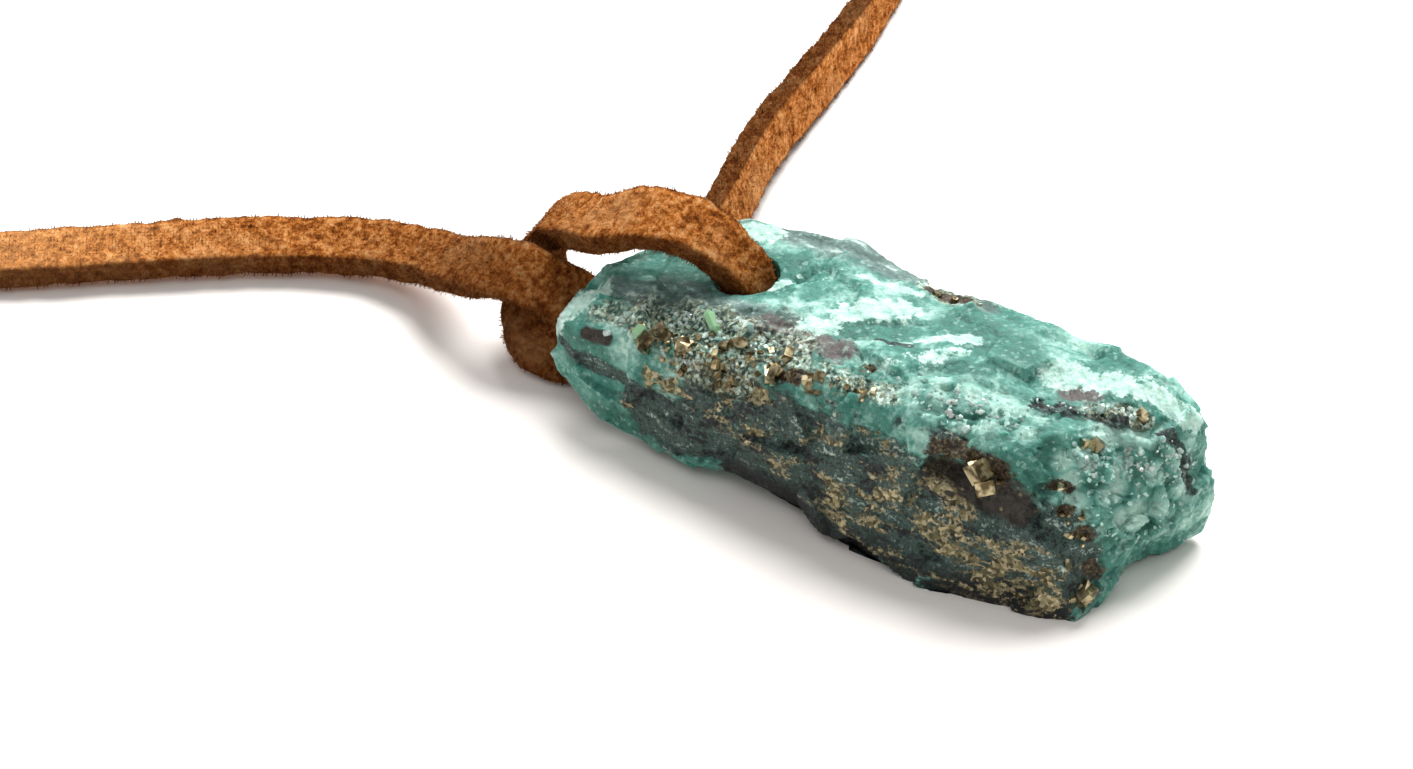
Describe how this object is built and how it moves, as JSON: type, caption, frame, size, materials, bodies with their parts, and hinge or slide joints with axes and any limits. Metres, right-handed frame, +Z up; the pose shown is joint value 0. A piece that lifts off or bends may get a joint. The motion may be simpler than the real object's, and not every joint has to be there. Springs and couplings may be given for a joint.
{
  "type": "emerald in matrix",
  "caption": "Rough emerald in quartz, mica and pyrite matrix, drilled near one end and knotted on a flat brown suede lace.",
  "frame": {"origin": "bottom centre of the stone's own bounding box, on the surface it lies on", "axes": "+X along the stone, from its drilled end to its blunt end; +Z up; -Y is its sawn-looking front"},
  "size_m": [0.117, 0.0611, 0.011],
  "materials": {
    "emerald_matrix": "satin",
    "suede": "matte"
  },
  "bodies": {
    "root": {"stone": "emerald_matrix", "lace_upper": "suede", "lace_lower": "suede", "lace_upper_coil": "suede", "lace_lower_coil": "suede"}
  },
  "joints": []
}
